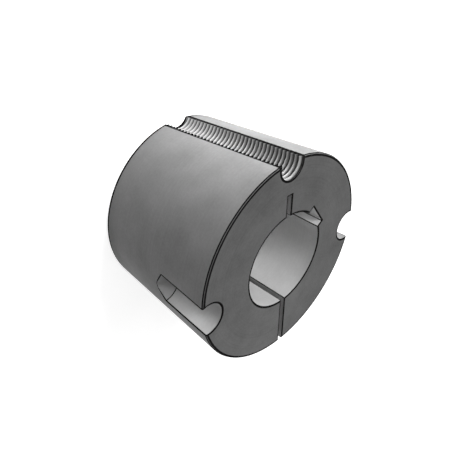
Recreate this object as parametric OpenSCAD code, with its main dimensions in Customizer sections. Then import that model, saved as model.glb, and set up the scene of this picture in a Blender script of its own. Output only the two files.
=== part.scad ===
// Two-screw taper bush with a keyed bore, stood on its small end, large end up.
// The threaded jacking half-hole faces -Y, and the split runs out to +Y.

/* [Body] */
// Large-end diameter, to the sharp corner
large_d = 108; // [100:0.5:116]
// Length along the axis
length = 76.2; // [68:0.1:84]
// Slope of the outer cone, per side, in degrees
taper_angle = 4; // [3:0.1:5]
// Chamfer on the rim of the large end
rim_chamfer = 0.6; // [0.2:0.1:1.5]

/* [Bore and keyway] */
// Shaft bore diameter
bore_d = 50; // [38:1:56]
// Keyway width
key_w = 14; // [10:1:16]
// Keyway depth, measured down its side wall
key_side_depth = 3.8; // [2:0.1:5]
// Keyway direction, in degrees clockwise from the jacking half-hole seen on the large end
key_turn = 55; // [40:1:65]

/* [Split and relief] */
// Width of the split through the wall
split_w = 2.6; // [1.5:0.1:4]
// Width of the relief slot opposite the split
relief_w = 2.6; // [1.5:0.1:4]
// Depth of the relief slot beyond the bore
relief_depth = 11.2; // [5:0.1:15]

/* [Screw half-holes] */
// Distance of each half-hole's centre line inside the large-end diameter
hole_inset = 3.2; // [1:0.1:6]
// Diameter of each plain half-hole
plain_d = 16.3; // [14:0.1:18]
// Depth of each plain half-hole to its shoulder
plain_depth = 30; // [20:1:45]
// Included angle of the drill point that ends each plain half-hole
drill_angle = 118; // [90:1:140]
// Angle from the jacking half-hole to each plain half-hole
plain_turn = 95; // [85:1:100]

/* [Jacking thread] */
// Outside diameter of the jacking thread, five eighths of an inch
thread_d = 15.875; // [14:0.005:16.5]
// Threads per inch
thread_tpi = 11; // [8:1:14]
// Included angle of the thread form
thread_angle = 55; // [50:1:60]

/* [Hidden] */

inch = 25.4;
round_fn = 96;
// Overshoot of every cut past the surface that it opens
cut = 1;

large_r = large_d / 2;
small_r = large_r - length * tan(taper_angle);
bore_r = bore_d / 2;
hole_circle_r = large_r - hole_inset;

jack_az = -90;
split_az = jack_az + 180;
key_az = jack_az - key_turn;
key_floor_r = sqrt(pow(bore_r, 2) - pow(key_w / 2, 2)) + key_side_depth;

// Thread form: a sharp vee cut off by a sixth of its height at the crest and at the root
pitch = inch / thread_tpi;
vee_h = pitch / 2 / tan(thread_angle / 2);
thread_h = vee_h * 2 / 3;
thread_r = thread_d / 2;
tap_drill_r = thread_r - thread_h;
root_w = pitch / 6;
// The groove section starts a little inside the drilled hole, so that its chords clear the wall
groove_lap = 0.15;
groove_w = root_w + 2 * (thread_h + groove_lap) * tan(thread_angle / 2);
// Where the thread's outside circle crosses the large-end rim, outwards from the hole's centre
rim_crossing = (pow(large_r, 2) - pow(thread_r, 2) - pow(hole_circle_r, 2)) / 2 / hole_circle_r;
// Half the arc that the thread covers inside that rim, run on a little past it
groove_spare = 8;
groove_reach = 180 - acos(rim_crossing / thread_r) + groove_spare;
groove_steps = 12;

// Corners of the groove section at a turn a degrees round the hole's own axis
function groove_section(a) =
    let (lift = pitch * a / 360, inner_r = tap_drill_r - groove_lap)
    [for (c = [[inner_r, -groove_w / 2], [thread_r, -root_w / 2], [thread_r, root_w / 2], [inner_r, groove_w / 2]])
        [c[0] * cos(a), c[0] * sin(a), c[1] + lift]];

// One groove of right-hand thread, swept the same arc to either side of +X
module thread_groove() {
    turn = 2 * groove_reach / groove_steps;
    points = [for (i = [0 : groove_steps]) each groove_section(i * turn - groove_reach)];
    sides = [
        for (i = [0 : groove_steps - 1], k = [0 : 3])
            let (a = 4 * i + k, b = 4 * i + (k + 1) % 4)
            each [[a, a + 4, b], [b, a + 4, b + 4]]
    ];
    last = 4 * groove_steps;
    ends = [[0, 1, 2, 3], [last + 3, last + 2, last + 1, last]];
    polyhedron(points = points, faces = concat(sides, ends));
}

// Cone with the chamfered rim of the large end
module blank() {
    rim_r = large_r - rim_chamfer * tan(taper_angle);
    rotate_extrude($fn = round_fn)
        polygon([
            [0, 0],
            [small_r, 0],
            [rim_r, length - rim_chamfer],
            [large_r - rim_chamfer, length],
            [0, length]
        ]);
}

module bore_cut() {
    translate([0, 0, -cut])
        cylinder(d = bore_d, h = length + 2 * cut, $fn = round_fn);
}

// Slot from the axis out to a given radius, over the whole length
module radial_slot(az, w, reach) {
    rotate([0, 0, az])
        translate([0, -w / 2, -cut])
            cube([reach, w, length + 2 * cut]);
}

module plain_half_hole(az) {
    rotate([0, 0, az])
        translate([hole_circle_r, 0, length - plain_depth]) {
            cylinder(d = plain_d, h = plain_depth + cut, $fn = round_fn);
            mirror([0, 0, 1])
                cylinder(d1 = plain_d, d2 = 0, h = plain_d / 2 / tan(drill_angle / 2), $fn = round_fn);
        }
}

// Tapped from end to end, with a crest of the thread at the small end
module jacking_half_hole() {
    rotate([0, 0, jack_az])
        translate([hole_circle_r, 0, 0]) {
            translate([0, 0, -cut])
                cylinder(r = tap_drill_r, h = length + 2 * cut, $fn = round_fn);
            for (turn = [0 : ceil(length / pitch)])
                translate([0, 0, (turn - 0.5) * pitch])
                    rotate([0, 0, 180])
                        thread_groove();
        }
}

module bush() {
    color("dimgray")
        difference() {
            blank();
            bore_cut();
            radial_slot(key_az, key_w, key_floor_r);
            radial_slot(split_az, split_w, large_r + cut);
            radial_slot(jack_az, relief_w, bore_r + relief_depth);
            plain_half_hole(jack_az + plain_turn);
            plain_half_hole(jack_az - plain_turn);
            jacking_half_hole();
        }
}

bush();
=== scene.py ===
# Two-screw taper bush in grey cast iron, stood on its small end, large end up
import math

import bpy
import numpy as np
from mathutils import Matrix, Vector
from mathutils.geometry import tessellate_polygon


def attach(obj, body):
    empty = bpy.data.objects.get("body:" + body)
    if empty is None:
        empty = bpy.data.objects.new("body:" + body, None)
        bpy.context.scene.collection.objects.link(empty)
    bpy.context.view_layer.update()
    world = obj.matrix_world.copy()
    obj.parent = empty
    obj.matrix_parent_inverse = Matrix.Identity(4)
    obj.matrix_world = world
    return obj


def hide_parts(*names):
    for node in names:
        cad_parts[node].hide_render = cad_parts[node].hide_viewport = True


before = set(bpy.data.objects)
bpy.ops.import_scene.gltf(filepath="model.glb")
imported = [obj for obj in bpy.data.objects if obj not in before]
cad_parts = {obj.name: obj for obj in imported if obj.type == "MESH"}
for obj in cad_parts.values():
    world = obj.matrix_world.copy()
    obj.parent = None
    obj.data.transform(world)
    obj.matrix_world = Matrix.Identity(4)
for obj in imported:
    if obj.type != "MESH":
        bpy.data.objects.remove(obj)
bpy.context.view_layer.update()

# Sizes in millimetres and directions in degrees, the same as in the part's source
MM = 0.001
FULL_TURN = 360
LARGE_R = 54.0
LENGTH = 76.2
TAPER = math.radians(4.0)
RIM_CHAMFER = 0.6
BORE_R = 25.0
KEY_HALF_W = 7.0
KEY_SIDE_DEPTH = 3.8
KEY_TURN = 55.0
SLOT_HALF_W = 1.3
RELIEF_DEPTH = 11.2
HOLE_INSET = 3.2
PLAIN_R = 8.15
PLAIN_DEPTH = 30.0
DRILL_HALF_ANGLE = math.radians(59.0)
PLAIN_TURN = 95.0
THREAD_R = 15.875 / 2
PITCH = 25.4 / 11

# Places that follow from them
SPLIT_AZ = 90.0
RELIEF_AZ = SPLIT_AZ - FULL_TURN / 2
RELIEF_END_R = BORE_R + RELIEF_DEPTH
KEY_AZ = RELIEF_AZ - KEY_TURN
KEY_FLOOR_R = math.sqrt(BORE_R**2 - KEY_HALF_W**2) + KEY_SIDE_DEPTH
JACK_AZ = RELIEF_AZ + FULL_TURN
PLAIN_AZ = (JACK_AZ - PLAIN_TURN, JACK_AZ + PLAIN_TURN)
HOLE_CIRCLE_R = LARGE_R - HOLE_INSET
SHOULDER_Z = LENGTH - PLAIN_DEPTH

# The drill point's tip, and where its cone first breaks through the ground taper
TIP_Z = SHOULDER_Z - PLAIN_R / math.tan(DRILL_HALF_ANGLE)
BREAK_R = (LARGE_R - (LENGTH - TIP_Z) * math.tan(TAPER) - HOLE_CIRCLE_R) / (
    1 - math.tan(TAPER) / math.tan(DRILL_HALF_ANGLE)
)
BREAK_Z = TIP_Z + BREAK_R / math.tan(DRILL_HALF_ANGLE)

# Thread form, in pitches: a 55 degree vee, a sixth of its height rounded off at the crest and at the root
FLANK_ANGLE = math.radians(27.5)
VEE_HEIGHT = 0.5 / math.tan(FLANK_ANGLE)
ROUNDED_OFF = 1 / 6
THREAD_DEPTH = VEE_HEIGHT * (1 - 2 * ROUNDED_OFF)
ARC_R = VEE_HEIGHT * ROUNDED_OFF / (1 / math.sin(FLANK_ANGLE) - 1)
ARC_END = ROUNDED_OFF + ARC_R * (1 - math.sin(FLANK_ANGLE)) / VEE_HEIGHT

# Broken edges, in millimetres. A hand-dressed edge is 0.2 to 0.5 wide, too fine for two pixels to the
# millimetre, so each is drawn as wide as its dark line in the photo needs, and hardly goes into the metal.
# The broken edges' near-black colour is painted: a dark line along each edge, and painted shade in the inner
# corners.
EDGE_WIDTH = 1.0  # on an end face
SLOT_EDGE_WIDTH = 0.8  # on an end face, beside the keyway, the split and the relief slot
EDGE_STEP = 0.1  # how deep an end face's edge is at its outer side
EDGE_DEPTH = 0.3  # how far it runs down the wall
SMALL_END_EDGE = 1.4  # how far it runs up the taper at the small end
SMALL_END_WALL_EDGE = 0.9  # how far it runs up the other walls there
TAPER_CORNER = 1.0  # on the taper, along a plain half-hole or the split
THREAD_LINE = 8.4  # on the taper beside the thread: from the half-hole's middle to a straight line
WALL_CORNER = 0.5  # on the wall of the half-hole or the split there
INNER_CORNER = 0.35  # along the corners inside the bore
CORNER_INWARDS = 1 / 8  # how far a corner goes in, as a share of the way to its two sides
RIM_EDGE = 0.28  # to either side of the rim chamfer's lower corner
RIM_RING = 0.9  # on the large end, inside the rim chamfer
SHOULDER_RING = 0.6  # painted shade: a dark ring where the drilled wall meets its cone

# How finely the surfaces are divided
CLEAR = 13.0  # degrees from a half-hole's middle to where the taper's columns are even again
SPAN_STEPS = 20
STRIP_STEPS = 2
PLAIN_STEPS = 20
JACK_STEPS = 30
BORE_STEP = 6.0  # degrees
THREAD_PHASES = (0, 0.061, 0.122, 0.378, 0.439, 0.5, 0.561, 0.622, 0.878, 0.939)
ROW_GAP = 0.1  # least height between a thread's row and a row of another form
SETTLE = 1.2 * PITCH  # height over which the thread's rows turn level at either end
CROSSING_ROUNDS = 12  # repeats that settle where the thread meets the taper
NARROWED = 6.0  # degrees to either side that the columns under a drill point take up at the small end
IN_LINE = 0.3  # sine of the turn below which two sides of the outline count as one
MOST_BACK = 0.45  # most of a column's gap that a corner takes up
TINY = 1e-9
PLACES = 5  # decimals of a millimetre at which points count as one
LEAST_AREA = 1e-5
SHARP = math.radians(35)

# Finishes, in the order of the bush's material slots
GROUND, TURNED, BORED, BROACHED, SAWN, DRILLED, TAPPED, BROKEN_EDGE = range(8)


def cone_radius(z):
    """Radius of the ground taper: a straight line from the large end down to the small end."""
    return LARGE_R - (LENGTH - z) * math.tan(TAPER)


def thread_radius(turns):
    """Radius of the tapped wall, turns pitches above a crest. It rises in a straight line from crest to root
    and falls again; near both it follows an arc that touches that line, the root's arc upside down."""
    rise = 1 - np.abs(2 * (turns % 1) - 1)

    def arc(share):
        near = np.minimum(share, ARC_END)
        return ARC_R - np.sqrt(ARC_R**2 - (near / 2) ** 2)

    line = VEE_HEIGHT * (rise - ROUNDED_OFF)
    height = np.where(rise < ARC_END, arc(rise), line)
    height = np.where(rise > 1 - ARC_END, THREAD_DEPTH - arc(1 - rise), height)
    return THREAD_R + PITCH * (height - THREAD_DEPTH)


def hole_crossing(hole_r, taper_r):
    """Where a half-hole's circle crosses the taper's circle: the angle at the bush's axis, and the angle at
    the hole's own axis from the way inwards, both by the law of cosines, in degrees."""
    cosine = (taper_r**2 + HOLE_CIRCLE_R**2 - hole_r**2) / (2 * taper_r * HOLE_CIRCLE_R)
    at_axis = np.arccos(np.minimum(cosine, 1))
    at_hole = np.arccos(np.clip((HOLE_CIRCLE_R - taper_r * np.cos(at_axis)) / hole_r, -1, 1))
    return np.degrees(at_axis), np.degrees(at_hole)


def polar(radius, az, z):
    """Points at a radius, an azimuth in degrees and a height."""
    radius, az, z = np.broadcast_arrays(radius, np.radians(az), z)
    return np.stack([radius * np.cos(az), radius * np.sin(az), z], -1)


def hole_point(az, hole_r, turn, z):
    """Points of a half-hole's wall, at a turn in degrees round its own axis from the way inwards."""
    return polar(HOLE_CIRCLE_R, az, z) - polar(hole_r, az + turn, 0 * z)


def taper_strip(start_az, end_az, z_start, z_end, steps):
    """Points on the cone, evenly from one azimuth to another on each row, their heights likewise."""
    t = np.arange(steps) / steps
    az = start_az + (end_az - start_az) * t
    z = z_start + (z_end - z_start) * t
    return polar(cone_radius(z), az, z)


def column(plan, z):
    """One column of points at a plan position, which may differ on each row, at each row's height."""
    plan = np.broadcast_to(np.asarray(plan)[..., None, :], (len(z), 1, 2))
    return np.concatenate([plan, z[:, :, None]], -1)


def row_heights():
    """Heights of the grid's rows: the crests, roots and arc ends of every turn of thread, the shoulder and
    the break-through of the drilled half-holes, and the rows of the broken edges at both ends."""
    low, high = SMALL_END_EDGE, LENGTH - RIM_CHAMFER - RIM_EDGE
    turns = np.arange(math.ceil(LENGTH / PITCH) + 1)[:, None] + np.array(THREAD_PHASES)
    kept = turns.ravel() * PITCH
    named = np.array([low, BREAK_Z, BREAK_Z, SHOULDER_Z, SHOULDER_Z + SHOULDER_RING, high])
    clear = np.abs(kept[:, None] - named).min(axis=1) > ROW_GAP
    kept = kept[clear & (kept > low) & (kept < high)]
    body = np.sort(np.concatenate([kept, named]))
    rim = [high + 2 * RIM_EDGE, LENGTH - EDGE_DEPTH, LENGTH - EDGE_STEP, LENGTH]
    return np.concatenate([[0.0, EDGE_STEP, SMALL_END_WALL_EDGE], body, rim])


def jack_half_hole(z):
    """The tapped half-hole. The rows climb with the thread, a pitch for each turn round the hole, except near
    the two ends, where they settle level, and the radius at each point is the thread form's there."""
    low, high = SMALL_END_EDGE, LENGTH - RIM_CHAMFER - RIM_EDGE
    climb = np.clip(np.minimum(z - low, high - z) / SETTLE, 0, 1) * PITCH / FULL_TURN
    corner = {}
    for side in (1, -1):
        turn = np.full_like(z, 90.0)
        for _ in range(CROSSING_ROUNDS):
            height = z + climb * side * turn
            hole_r = thread_radius(height / PITCH - side * turn / FULL_TURN)
            at_axis, turn = hole_crossing(hole_r, cone_radius(height))
        corner[side] = (JACK_AZ - side * at_axis, side * turn, height)
    t = np.arange(JACK_STEPS) / JACK_STEPS
    turn = corner[1][1] * (1 - t) + corner[-1][1] * t
    height = z + climb * turn
    wall = hole_point(JACK_AZ, thread_radius(height / PITCH - turn / FULL_TURN), turn, height)
    return corner[1], wall, corner[-1]


def plain_half_hole(az, z):
    """A drilled half-hole with its cone below. Under the break-through its columns lie on the taper and draw
    together to that one point; of the two rows there, the upper one reaches in to the drill point's tip."""
    hole_r = np.clip((z - TIP_Z) * math.tan(DRILL_HALF_ANGLE), BREAK_R, PLAIN_R)
    at_axis, turn = hole_crossing(hole_r, cone_radius(z))
    opened = z > BREAK_Z + TINY
    at_axis = np.where(opened, at_axis, NARROWED * (1 - np.minimum(z / BREAK_Z, 1)))
    t = np.arange(PLAIN_STEPS) / PLAIN_STEPS
    wall = hole_point(az, hole_r, turn * (1 - 2 * t), z + 0 * t)
    taper = polar(cone_radius(z), az + at_axis * (2 * t - 1), z + 0 * t)
    wall = np.where(opened[:, :, None], wall, taper)
    reach = np.flatnonzero(np.isclose(z[:, 0], BREAK_Z))[-1]
    wall[reach, 1:] = polar(HOLE_CIRCLE_R, az, TIP_Z)
    return az - at_axis, wall, az + at_axis


def outside(z):
    """Columns along the taper and through the three half-holes, from one side of the split round to the
    other, each run with its finish."""
    split_turn = np.degrees(np.arcsin(SLOT_HALF_W / cone_radius(z)))
    before, tapped, after = jack_half_hole(z)
    left, right = (plain_half_hole(az, z) for az in PLAIN_AZ)

    def span(start_az, end_az):
        return taper_strip(start_az, end_az, z, z, SPAN_STEPS), GROUND

    def strip(start_az, end_az, z_start=z, z_end=z, steps=STRIP_STEPS):
        return taper_strip(start_az, end_az, z_start, z_end, steps), GROUND

    return [
        span(SPLIT_AZ + split_turn, PLAIN_AZ[0] - CLEAR),
        strip(PLAIN_AZ[0] - CLEAR, left[0]),
        (left[1], DRILLED),
        strip(left[2], PLAIN_AZ[0] + CLEAR),
        span(PLAIN_AZ[0] + CLEAR, JACK_AZ - CLEAR),
        strip(JACK_AZ - CLEAR, before[0], z_end=before[2], steps=1),
        (tapped, TAPPED),
        strip(after[0], JACK_AZ + CLEAR, z_start=after[2], steps=1),
        span(JACK_AZ + CLEAR, PLAIN_AZ[1] - CLEAR),
        strip(PLAIN_AZ[1] - CLEAR, right[0]),
        (right[1], DRILLED),
        strip(right[2], PLAIN_AZ[1] + CLEAR),
        span(PLAIN_AZ[1] + CLEAR, SPLIT_AZ + FULL_TURN - split_turn),
    ]


def inside(z):
    """Columns in along the split, round the bore with its relief slot and keyway, and out along the split
    again, each run with its finish."""
    w = SLOT_HALF_W
    slot_edge = math.sqrt(BORE_R**2 - w**2)
    slot_turn = math.degrees(math.asin(w / BORE_R))
    key_turn = math.degrees(math.asin(KEY_HALF_W / BORE_R))

    def bored(start_az, end_az):
        steps = math.ceil(abs(end_az - start_az) / BORE_STEP)
        az = start_az + (end_az - start_az) * np.arange(steps) / steps
        return [(polar(BORE_R, az + 0 * z, z + 0 * az), BORED)]

    def walls(corners, finish):
        return [(column(corner, z), finish) for corner in corners]

    split_edge = np.sqrt(cone_radius(z) ** 2 - w**2)[:, 0]
    split_corner = np.stack([np.full_like(split_edge, w), split_edge], -1)
    relief = ((w, -slot_edge), (w, -RELIEF_END_R), (-w, -RELIEF_END_R))
    outwards = np.array([math.cos(math.radians(KEY_AZ)), math.sin(math.radians(KEY_AZ))])
    across = np.array([-outwards[1], outwards[0]]) * KEY_HALF_W
    key_edge = outwards * math.sqrt(BORE_R**2 - KEY_HALF_W**2)
    key_floor = outwards * KEY_FLOOR_R
    return [
        *walls([split_corner], SAWN),
        *bored(SPLIT_AZ - slot_turn, RELIEF_AZ + slot_turn),
        *walls(relief, SAWN),
        *bored(RELIEF_AZ - slot_turn, KEY_AZ + key_turn),
        *walls((key_edge + across, key_floor + across, key_floor - across), BROACHED),
        *bored(KEY_AZ - key_turn, SPLIT_AZ - FULL_TURN + slot_turn),
        *walls([(-w, slot_edge)], SAWN),
    ]


def bush_grid(z):
    """The whole wall as one grid, whose columns go once round the plan outline. Returns the points, rows by
    columns, and each column's finish, which the wall from it to the next column takes."""
    runs = outside(z[:, None]) + inside(z[:, None])
    finish = np.repeat([kind for _, kind in runs], [points.shape[1] for points, _ in runs])
    return np.concatenate([points for points, _ in runs], axis=1), finish


def draw_back(outline, amount):
    """Moves each side of a closed plan outline into the metal by its own amount: a corner goes to where its
    two moved sides cross, and a point between two sides that are nearly in line goes straight back."""
    step = np.roll(outline, -1, axis=0) - outline
    ahead = np.stack([step[:, 1], -step[:, 0]], -1) / np.linalg.norm(step, axis=1)[:, None]
    behind, by_behind = np.roll(ahead, 1, axis=0), np.roll(amount, 1)
    cross = behind[:, 0] * ahead[:, 1] - behind[:, 1] * ahead[:, 0]
    inline = np.abs(cross) < IN_LINE
    safe = np.where(inline, 1, cross)
    met_x = (by_behind * -ahead[:, 1] + amount * behind[:, 1]) / safe
    met_y = (-behind[:, 0] * amount + ahead[:, 0] * by_behind) / safe
    mean = (behind + ahead) / (1 + (behind * ahead).sum(axis=1))[:, None]
    mean = -mean * ((amount + by_behind) / 2)[:, None]
    return outline + np.where(inline[:, None], mean, np.stack([met_x, met_y], -1))


def dressed_ends(grid, finish, z):
    """The grid with its end rows drawn back: for the rim chamfer on the taper of the large end, and for the
    broken edge everywhere else."""
    slot = (finish == SAWN) | (finish == BROACHED)
    on_face = np.where(slot, SLOT_EDGE_WIDTH, EDGE_WIDTH)
    for row, width in ((0, on_face), (1, EDGE_STEP), (-4, 0), (-3, 0), (-2, EDGE_STEP), (-1, on_face)):
        chamfer = RIM_CHAMFER - LENGTH + z[row] + (RIM_RING if row == -1 else 0)
        back = np.where((finish == GROUND) & (row < 0), chamfer, width)
        grid[row, :, :2] = draw_back(grid[row, :, :2], back)
    return grid


def rolled_corners(grid, finish):
    """Each column at a corner of the plan outline becomes three: one a little way back along either side of
    the corner, and between them one drawn inwards. Beside the thread, the one on the taper goes back to a
    straight line, a fixed way from the half-hole's middle. Returns the points, each column's finish, and
    which columns lie at a drilled half-hole."""
    corner = (finish != np.roll(finish, 1)) | (finish == BROACHED) | (finish == SAWN)
    copies = np.where(corner, 3, 1)
    source = np.repeat(np.arange(len(finish)), copies)
    place = np.arange(len(source)) - np.repeat(np.cumsum(copies) - copies, copies)
    outer = (finish == GROUND) | (np.roll(finish, 1) == GROUND)
    at_thread = outer & ((finish == TAPPED) | (np.roll(finish, 1) == TAPPED))

    def back(towards, side):
        step = np.roll(grid, towards, axis=1) - grid
        width = np.select([side == GROUND, outer], [TAPER_CORNER, WALL_CORNER], INNER_CORNER)
        share = width[:, None] / np.maximum(np.linalg.norm(step, axis=-1, keepdims=True), TINY)
        # The jacking half-hole faces -Y, so a point is as far from its middle as from x = 0
        from_middle = np.abs(grid[:, :, :1])
        apart = np.maximum(np.roll(from_middle, towards, axis=1) - from_middle, TINY)
        to_line = (THREAD_LINE - from_middle) / apart
        on_taper = (at_thread & (side == GROUND))[:, None]
        return step * np.where(on_taper, to_line, np.minimum(share, MOST_BACK))

    behind = back(1, np.roll(finish, 1))[:, source]
    ahead = back(-1, finish)[:, source]
    moved = np.select(
        [(place == 0)[:, None], (place == 1)[:, None]], [behind, (behind + ahead) * CORNER_INWARDS], ahead
    )
    drilled = (finish[source] == DRILLED) | ((place < 2) & corner[source] & (finish[source - 1] == DRILLED))
    kinds = np.where(corner[source] & (place < 2), BROKEN_EDGE, finish[source])
    return grid[:, source] + moved * corner[source][:, None], kinds, drilled


def wall_finishes(z, finish, drilled):
    """The finish of each face of the wall, by row and column: the column's own, but painted dark at the
    broken edges and round the drilled shoulders, turned on the rim chamfer, and ground below the
    break-through."""
    # Rows of faces: 0, 1 and, on the taper, 2 are the small end's edge. At the large end -1 is the edge on
    # the face and -2 the one on the walls; on the taper -2 and -3 are the rim chamfer, -4 its lower corner.
    kinds = np.broadcast_to(finish, (len(z) - 1, len(finish))).copy()
    kinds[(z[:-1] < BREAK_Z - TINY)[:, None] & drilled] = GROUND
    above = z[:-1] - SHOULDER_Z
    ring = (above > -TINY) & (above < SHOULDER_RING - TINY)
    kinds[ring[:, None] & (finish == DRILLED)] = BROKEN_EDGE
    kinds[[0, 1, -1]] = BROKEN_EDGE
    kinds[2, (finish == GROUND) | drilled] = BROKEN_EDGE
    kinds[-2, finish != GROUND] = BROKEN_EDGE
    kinds[-4, finish == GROUND] = BROKEN_EDGE
    kinds[-3:-1, finish == GROUND] = TURNED
    return kinds.ravel()


def end_face(outline, downwards):
    """A flat end as triangles over its plan outline, all turned to face the same way."""
    face = np.array(tessellate_polygon([np.pad(outline, ((0, 0), (0, 1))).tolist()]))
    u, v = (outline[face[:, k]] - outline[face[:, 0]] for k in (1, 2))
    upwards = u[:, 0] * v[:, 1] - u[:, 1] * v[:, 0] > 0
    return np.where((upwards == downwards)[:, None], face[:, ::-1], face)


def bush_mesh():
    """The bush as one closed skin: each four neighbours of the wall grid as two triangles, and the two end
    faces, with points that coincide made one and triangles of no area left out."""
    z = row_heights()
    grid, finish = bush_grid(z)
    grid, finish, drilled = rolled_corners(dressed_ends(grid, finish, z), finish)
    rows, columns = grid.shape[:2]

    at = np.arange(rows * columns).reshape(rows, columns)
    a, b = at[:-1], np.roll(at, -1, axis=1)[:-1]
    c, d = np.roll(at, -1, axis=1)[1:], at[1:]
    walls = np.stack([np.stack([a, b, c], -1), np.stack([a, c, d], -1)], 2).reshape(-1, 3)
    small_end = at[0][end_face(grid[0, :, :2], True)]
    large_end = at[-1][end_face(grid[-1, :, :2], False)]
    faces = np.concatenate([walls, small_end, large_end])
    round_wall = np.arange(len(faces)) < len(walls)
    kinds = np.full(len(faces), TURNED)
    kinds[round_wall] = np.repeat(wall_finishes(z, finish, drilled), 2)

    points, joined = np.unique(np.round(grid.reshape(-1, 3), PLACES), axis=0, return_inverse=True)
    faces = joined.reshape(-1)[faces]
    u, v = (points[faces[:, k]] - points[faces[:, 0]] for k in (1, 2))
    real = np.linalg.norm(np.cross(u, v), axis=1) > LEAST_AREA
    faces, kinds, round_wall = faces[real], kinds[real], round_wall[real]

    mesh = bpy.data.meshes.new("bush_skin")
    mesh.vertices.add(len(points))
    mesh.vertices.foreach_set("co", (points * MM).ravel())
    mesh.loops.add(faces.size)
    mesh.loops.foreach_set("vertex_index", faces.ravel())
    mesh.polygons.add(len(faces))
    mesh.polygons.foreach_set("loop_start", np.arange(0, faces.size, 3))
    mesh.polygons.foreach_set("material_index", kinds)
    mesh.update(calc_edges=True)
    mesh.set_sharp_from_angle(angle=SHARP)
    mesh.polygons.foreach_set("use_smooth", round_wall)
    return mesh


def linear(hex_colour):
    """An sRGB colour such as 8a8a8a as the linear red, green, blue and alpha that Blender takes."""
    parts = np.array([int(hex_colour[i : i + 2], 16) for i in (0, 2, 4)]) / 255
    dark, light = parts / 12.92, ((parts + 0.055) / 1.055) ** 2.4
    return (*np.where(parts <= 0.04045, dark, light).tolist(), 1.0)


def add(tree, kind, settings=None, inputs=None):
    """Adds one node, with its settings, and with each input set to a value or linked to an output."""
    made = tree.nodes.new(kind)
    for name, value in (settings or {}).items():
        setattr(made, name, value)
    for name, value in (inputs or {}).items():
        if isinstance(value, bpy.types.NodeSocket):
            tree.links.new(value, made.inputs[name])
        else:
            made.inputs[name].default_value = value
    return made


def new_tree(owner):
    """The owner's shader nodes, emptied."""
    owner.use_nodes = True
    owner.node_tree.nodes.clear()
    return owner.node_tree


# Grain of the coat, in millimetres. Real crystals are a few hundredths across and real tool marks 0.1 to 0.3
# apart, too fine to show, so both are drawn about a millimetre wide, and the marks' depth grows with it.
MOTTLE = 1.1
MOTTLE_SHARE = 0.35
DRIFT = 22.0
MARK_SHARE = 0.3
NOISE_FALL = 0.6  # how much of its strength each finer layer of a noise keeps
SHADE_SPREAD = {"From Min": 0.55, "From Max": 1.1}
ROUGHNESS_SPREAD = 0.05
MARK_WAYS = {"rounds": (0, 0, 1), "rings": (1, 1, 0), "lines": (1, 1, 0.02)}
# Painted shade in the thread's roots: the tapped wall darkens between these distances from the half-hole's
# axis
ROOT_SHADE_FROM = THREAD_R - 1.4
ROOT_SHADE_TO = THREAD_R - 0.3


def coated_iron(name, dark, light, roughness, gloss, marks, spacing, depth, painted_root_shade=None):
    """Machined grey iron under its coat. Its shade drifts between two colours over centimetres, with a fine
    mottle and the tool's marks in it, and the marks also stand in relief. The marks are rounds at one height,
    rings round the axis or lines up the wall, with a spacing and a depth in millimetres. A painted root shade
    is the colour that the thread darkens to with the distance from the half-hole's own axis: painted shade in
    the thread's roots."""
    made = bpy.data.materials.new(name)
    tree = new_tree(made)
    place = add(tree, "ShaderNodeTexCoord").outputs["Object"]
    across = {0: place, 1: MARK_WAYS[marks]}
    across = add(tree, "ShaderNodeVectorMath", {"operation": "MULTIPLY"}, across).outputs[0]
    if marks == "rings":
        across = add(tree, "ShaderNodeVectorMath", {"operation": "LENGTH"}, {0: across}).outputs["Value"]

    drift, mottle, lines = (
        add(
            tree,
            "ShaderNodeTexNoise",
            None,
            {"Vector": vector, "Scale": 1 / (size * MM), "Detail": detail, "Roughness": NOISE_FALL},
        ).outputs["Fac"]
        for vector, size, detail in ((place, DRIFT, 5.0), (place, MOTTLE, 2.0), (across, spacing, 2.0))
    )
    shade = drift
    for grain, share in ((mottle, MOTTLE_SHARE), (lines, MARK_SHARE)):
        parts = {0: grain, 1: share, 2: shade}
        shade = add(tree, "ShaderNodeMath", {"operation": "MULTIPLY_ADD"}, parts).outputs[0]

    blend = {**SHADE_SPREAD, "Value": shade, "To Min": 0.0, "To Max": 1.0}
    blend = add(tree, "ShaderNodeMapRange", None, blend).outputs["Result"]
    # A Mix node takes its two colours in sockets 6 and 7 and gives the mixed one in socket 2
    colours = {"Factor": blend, 6: linear(dark), 7: linear(light)}
    colour = add(tree, "ShaderNodeMix", {"data_type": "RGBA"}, colours).outputs[2]
    if painted_root_shade:
        plan = {0: place, 1: (1, 1, 0), 2: (0, HOLE_CIRCLE_R * MM, 0)}
        plan = add(tree, "ShaderNodeVectorMath", {"operation": "MULTIPLY_ADD"}, plan).outputs[0]
        away = add(tree, "ShaderNodeVectorMath", {"operation": "LENGTH"}, {0: plan}).outputs["Value"]
        reach = {"Value": away, "From Min": ROOT_SHADE_FROM * MM, "From Max": ROOT_SHADE_TO * MM}
        reach = add(tree, "ShaderNodeMapRange", None, reach).outputs["Result"]
        colours = {"Factor": reach, 6: colour, 7: linear(painted_root_shade)}
        colour = add(tree, "ShaderNodeMix", {"data_type": "RGBA"}, colours).outputs[2]

    dulled = {"To Min": roughness + ROUGHNESS_SPREAD, "To Max": roughness - ROUGHNESS_SPREAD}
    dulled = add(tree, "ShaderNodeMapRange", None, {**SHADE_SPREAD, "Value": shade, **dulled})
    relief = {"Strength": 1.0, "Distance": depth * MM, "Height": lines}
    skin = {
        "Base Color": colour,
        "Roughness": dulled.outputs["Result"],
        "Metallic": 0.0,
        "Specular IOR Level": gloss,
        "Normal": add(tree, "ShaderNodeBump", None, relief).outputs["Normal"],
    }
    skin = add(tree, "ShaderNodeBsdfPrincipled", None, skin)
    add(tree, "ShaderNodeOutputMaterial", None, {"Surface": skin.outputs["BSDF"]})
    return made


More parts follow.
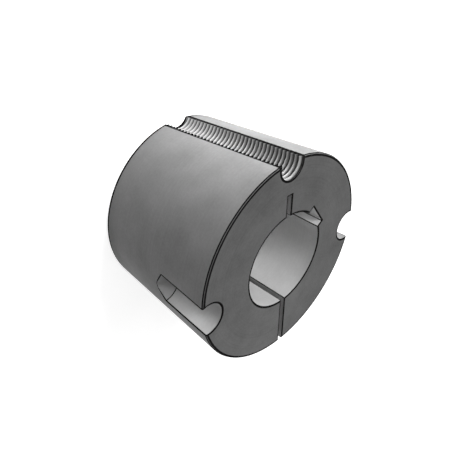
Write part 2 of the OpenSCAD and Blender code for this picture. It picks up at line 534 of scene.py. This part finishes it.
def seen_directly(tree):
    """1 for rays that show the surroundings to the eye: straight, in a gloss, or through something clear."""
    path = add(tree, "ShaderNodeLightPath").outputs
    either = {0: path["Is Camera Ray"], 1: path["Is Glossy Ray"]}
    either = add(tree, "ShaderNodeMath", {"operation": "MAXIMUM"}, either).outputs[0]
    any_way = {0: either, 1: path["Is Transmission Ray"]}
    return add(tree, "ShaderNodeMath", {"operation": "MAXIMUM"}, any_way).outputs[0]


FLOOR_HALF = 6.0
GLOW_NEAR = 0.75
GLOW_FROM = 0.15
GLOW_TO = 0.6


def pale_floor():
    """A flat pale sheet at the height of the small end, much wider than the view. Seen directly it glows:
    less beside the bush, so that its shadow shows, and up to plain white further off."""
    u, v = np.meshgrid((-FLOOR_HALF, FLOOR_HALF), (-FLOOR_HALF, FLOOR_HALF))
    points = np.stack([u, v, np.zeros_like(u)], -1).reshape(-1, 3)
    mesh = bpy.data.meshes.new("floor")
    mesh.from_pydata(points.tolist(), [], [(0, 1, 3, 2)])
    floor = bpy.data.objects.new("floor", mesh)
    bpy.context.scene.collection.objects.link(floor)
    made = bpy.data.materials.new("matt_white_paper")
    tree = new_tree(made)
    matt = add(tree, "ShaderNodeBsdfDiffuse", None, {"Color": linear("cccccc")})
    place = add(tree, "ShaderNodeTexCoord").outputs["Object"]
    away = add(tree, "ShaderNodeVectorMath", {"operation": "LENGTH"}, {0: place}).outputs["Value"]
    level = {"Value": away, "From Min": GLOW_FROM, "From Max": GLOW_TO, "To Min": GLOW_NEAR, "To Max": 1.0}
    level = add(tree, "ShaderNodeMapRange", None, level).outputs["Result"]
    strength = {0: seen_directly(tree), 1: level}
    strength = add(tree, "ShaderNodeMath", {"operation": "MULTIPLY"}, strength).outputs[0]
    glow = add(tree, "ShaderNodeEmission", None, {"Color": (1, 1, 1, 1), "Strength": strength})
    both = add(tree, "ShaderNodeAddShader", None, {0: matt.outputs[0], 1: glow.outputs[0]})
    add(tree, "ShaderNodeOutputMaterial", None, {"Surface": both.outputs[0]})
    mesh.materials.append(made)


def surroundings(ambient):
    """A dim even room, which shows white to the eye and in a gloss."""
    world = bpy.data.worlds.new("room")
    bpy.context.scene.world = world
    tree = new_tree(world)
    dim = add(tree, "ShaderNodeBackground", None, {"Color": (1, 1, 1, 1), "Strength": ambient})
    white = add(tree, "ShaderNodeBackground", None, {"Color": (1, 1, 1, 1), "Strength": 1.0})
    mixed = {0: seen_directly(tree), 1: dim.outputs[0], 2: white.outputs[0]}
    mixed = add(tree, "ShaderNodeMixShader", None, mixed)
    add(tree, "ShaderNodeOutputWorld", None, {"Surface": mixed.outputs[0]})


def softbox(name, azimuth, elevation, distance, width, height, watts):
    """A rectangular lamp that faces the middle of the bush from an azimuth and an elevation in degrees."""
    lamp = bpy.data.lights.new(name, "AREA")
    lamp.shape = "RECTANGLE"
    lamp.size = width
    lamp.size_y = height
    lamp.energy = watts
    holder = bpy.data.objects.new(name, lamp)
    bpy.context.scene.collection.objects.link(holder)
    a, e = math.radians(azimuth), math.radians(elevation)
    way = Vector((math.cos(a) * math.cos(e), math.sin(a) * math.cos(e), math.sin(e)))
    holder.location = Vector((0, 0, LENGTH * MM / 2)) + way * distance
    holder.rotation_mode = "QUATERNION"
    holder.rotation_quaternion = (-way).to_track_quat("-Z", "Y")
    holder.visible_camera = False


# Camera: an isometric view with a 45 degree lens, turned so that the large end is on the right. Its place was
# fitted to the corners and curves that the photo shows.
CAMERA_AT = Vector((165.68, -164.91, 203.62)) * MM
RIGHT = Vector((-1, 0, 1)).normalized()
UP = Vector((-1, -2, -1)).normalized()
BACK = Vector((1, -1, 1)).normalized()
lens = bpy.data.cameras.new("camera")
lens.sensor_width = 36.0
lens.lens = lens.sensor_width / 2 / math.tan(math.radians(22.5))
lens.clip_start = 0.01
camera = bpy.data.objects.new("camera", lens)
bpy.context.scene.collection.objects.link(camera)
camera.matrix_world = Matrix.Translation(CAMERA_AT) @ Matrix((RIGHT, UP, BACK)).transposed().to_4x4()
bpy.context.scene.camera = camera

# Light: one key from beyond the thread, two low strips that brighten the taper beside it, and weak fills from
# the other sides, so that no side is black and no pale face clips
pale_floor()
surroundings(0.03)
softbox("far_strip", 248, 0, 0.15, 0.02, 0.08, 0.16)
softbox("near_strip", 265, 0, 0.15, 0.02, 0.08, 0.07)
softbox("high_key", 250, 55, 0.8, 0.3, 0.3, 5.7)
softbox("top_fill", 280, 70, 0.8, 0.3, 0.3, 1.0)
softbox("low_fill", 300, 0, 0.8, 0.3, 0.075, 1.3)
softbox("front_fill", 310, 40, 0.8, 0.3, 0.3, 0.9)
softbox("rear_fill", 80, 25, 0.8, 0.3, 0.3, 1.1)
softbox("left_fill", 190, 8, 0.8, 0.3, 0.2, 1.5)
softbox("back_fill", 120, 8, 0.8, 0.3, 0.2, 2)

# The bush is grey cast iron, machined all over and then phosphated and oiled, as such bushes are. The coat is
# a skin of fine crystals and no metal, so the metallic share is 0 and the eye sees an even matt grey. The
# roughness, 0.45 to 0.62, is a judgement of such a coat on coarser or finer cut iron and comes from no table.
# The gloss and the greys were set against the photo.
# The greys are partly painted light: the bore, keyway, slots and half-holes are painted paler to cancel the
# shade that falls inside them, and the end faces darker as painted shade.
bush = bpy.data.objects.new("taper_bush", bush_mesh())
bpy.context.scene.collection.objects.link(bush)
for finish in (
    # Ground taper: smooth and mid grey, with faint rounds from the wheel
    coated_iron("phosphated_iron_ground", "686868", "7c7c7c", 0.5, 0.1, "rounds", 1.2, 0.02),
    # Turned end faces: painted darker than the taper, as painted shade, with rings from the facing tool
    coated_iron("phosphated_iron_turned", "464646", "585858", 0.62, 0.1, "rings", 1.3, 0.035),
    # Bore: painted pale, as painted light that cancels the shade falling inside it, with rounds from the
    # boring tool
    coated_iron("phosphated_iron_bored", "bfbfbf", "d3d3d3", 0.45, 0.1, "rounds", 1.0, 0.03),
    # Keyway: painted the palest, as painted light that cancels the shade deep in the bore, with lines along
    # the broach's stroke
    coated_iron("phosphated_iron_broached", "d6d6d6", "e6e6e6", 0.5, 0.1, "lines", 0.9, 0.03),
    # Split and relief slot: painted pale, as painted light that cancels the shade in them, and duller, with
    # the saw's marks from the outside to the bore
    coated_iron("phosphated_iron_sawn", "a2a2a2", "b6b6b6", 0.6, 0.1, "rounds", 0.9, 0.04),
    # Plain half-holes: a drilled wall painted pale, as painted light that cancels the shade in the hollows,
    # with the drill's rounds
    coated_iron("phosphated_iron_drilled", "a8a8a8", "bababa", 0.5, 0.1, "rounds", 1.0, 0.04),
    # Jacking half-hole: the tapped wall painted pale, as painted light that cancels the shade in it, and its
    # roots darkened as painted shade
    coated_iron("phosphated_iron_tapped", "a4a4a4", "b0b0b0", 0.5, 0.1, "rounds", 1.0, 0.02, "444444"),
    # Broken edges: worn round by the file, and painted near black without gloss, so each edge is a dark line
    # and each inner corner holds painted shade
    coated_iron("phosphated_iron_broken_edge", "101010", "181818", 0.9, 0.0, "rounds", 1.0, 0.01),
):
    bush.data.materials.append(finish)
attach(bush, "root")
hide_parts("bush")

bpy.context.scene.view_settings.view_transform = "Standard"
